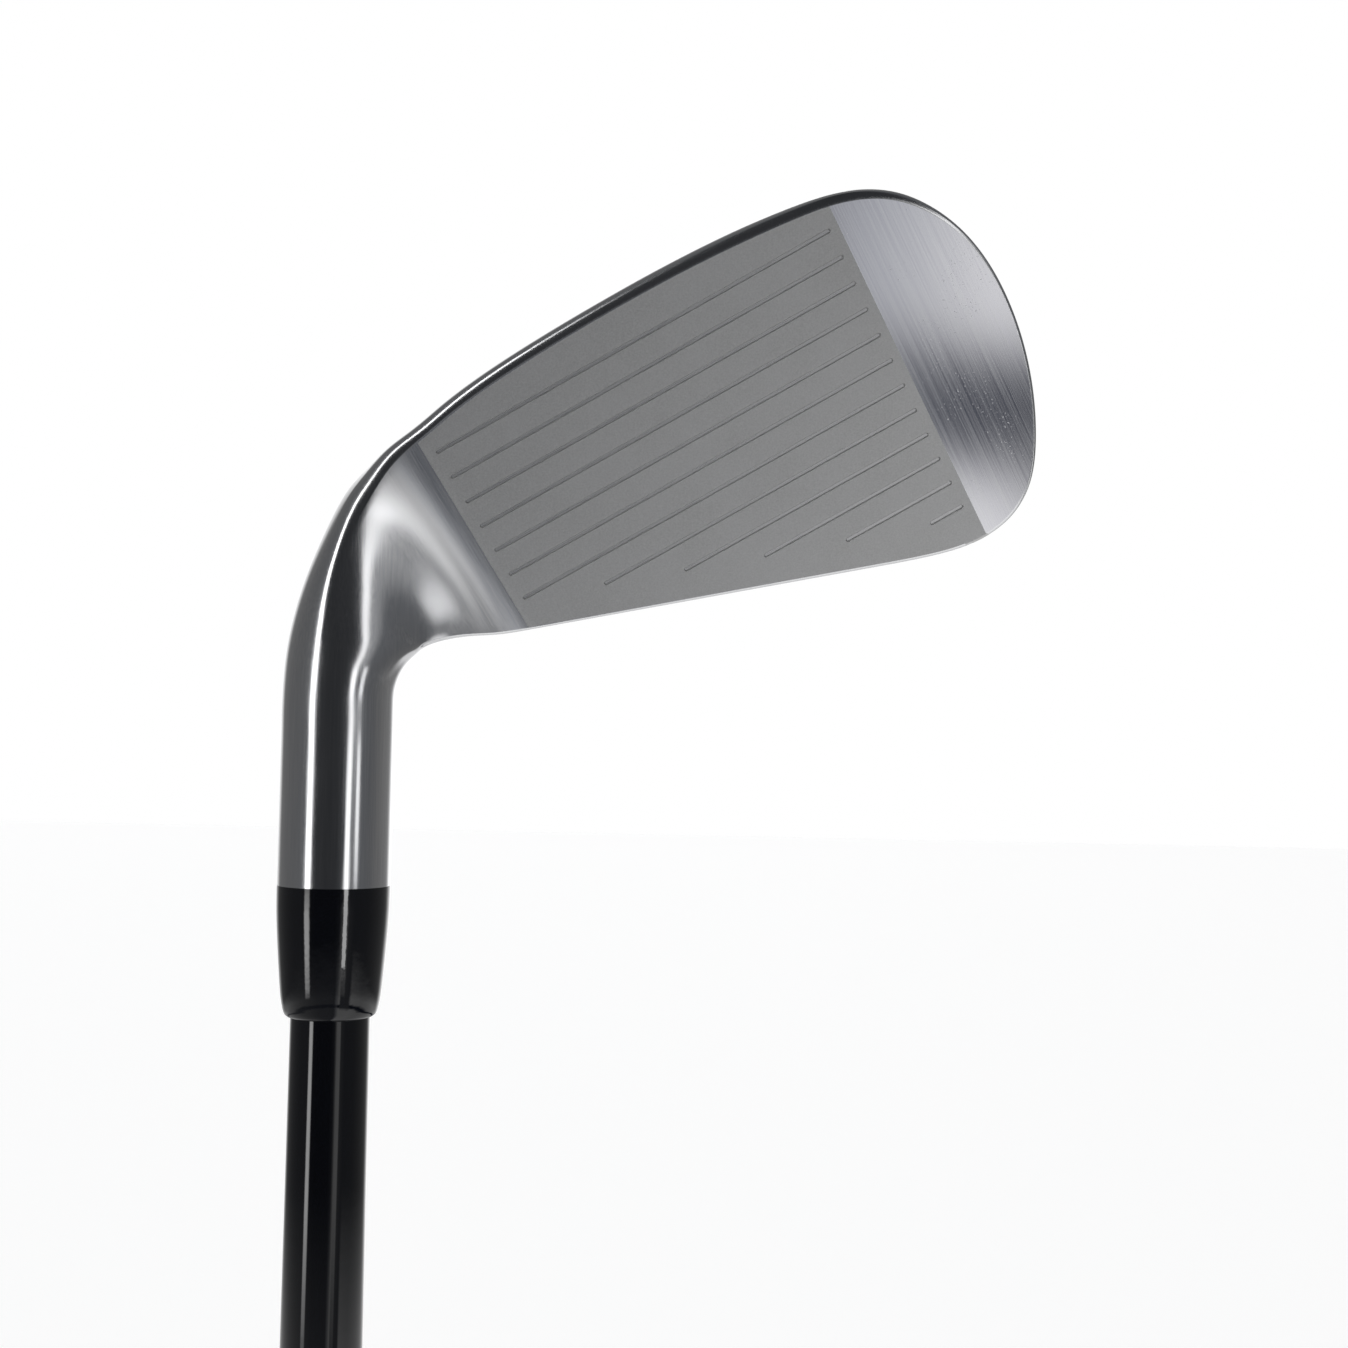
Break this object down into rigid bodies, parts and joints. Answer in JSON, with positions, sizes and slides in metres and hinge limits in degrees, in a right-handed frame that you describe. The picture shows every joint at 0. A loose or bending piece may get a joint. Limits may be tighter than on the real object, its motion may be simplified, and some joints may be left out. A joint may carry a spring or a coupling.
{
  "type": "iron golf club",
  "caption": "Iron golf club: lofted steel head with a grooved face and cavity back, black ferrule, tapered black tube shaft and rubber grip with a vented cap.",
  "frame": {"origin": "centre of the grip's butt end, on the shaft axis", "axes": "+Z along the shaft axis from the grip to the head, +X towards the toe, the face looks to -Y and down"},
  "size_m": [0.1024, 0.0363, 1.025],
  "materials": {
    "head_steel": "blasted face, brushed and polished elsewhere",
    "black_gloss": "gloss",
    "shaft_black": "gloss clear coat over black",
    "pin_brass": "turned",
    "epoxy": "cured",
    "grip_rubber": "moulded",
    "cap_rubber": "moulded",
    "grip_tape": "crepe paper tape",
    "badge_metal": "anodised satin",
    "badge_tape": "foam tape"
  },
  "bodies": {
    "root": {"head": "head_steel", "ferrule": "black_gloss", "shaft": "shaft_black", "tip_weight": "pin_brass", "hosel_epoxy": "epoxy", "grip": "grip_rubber", "grip_cap": "cap_rubber", "grip_tape": "grip_tape", "cavity_badge": "badge_metal", "badge_tape": "badge_tape"}
  },
  "joints": []
}
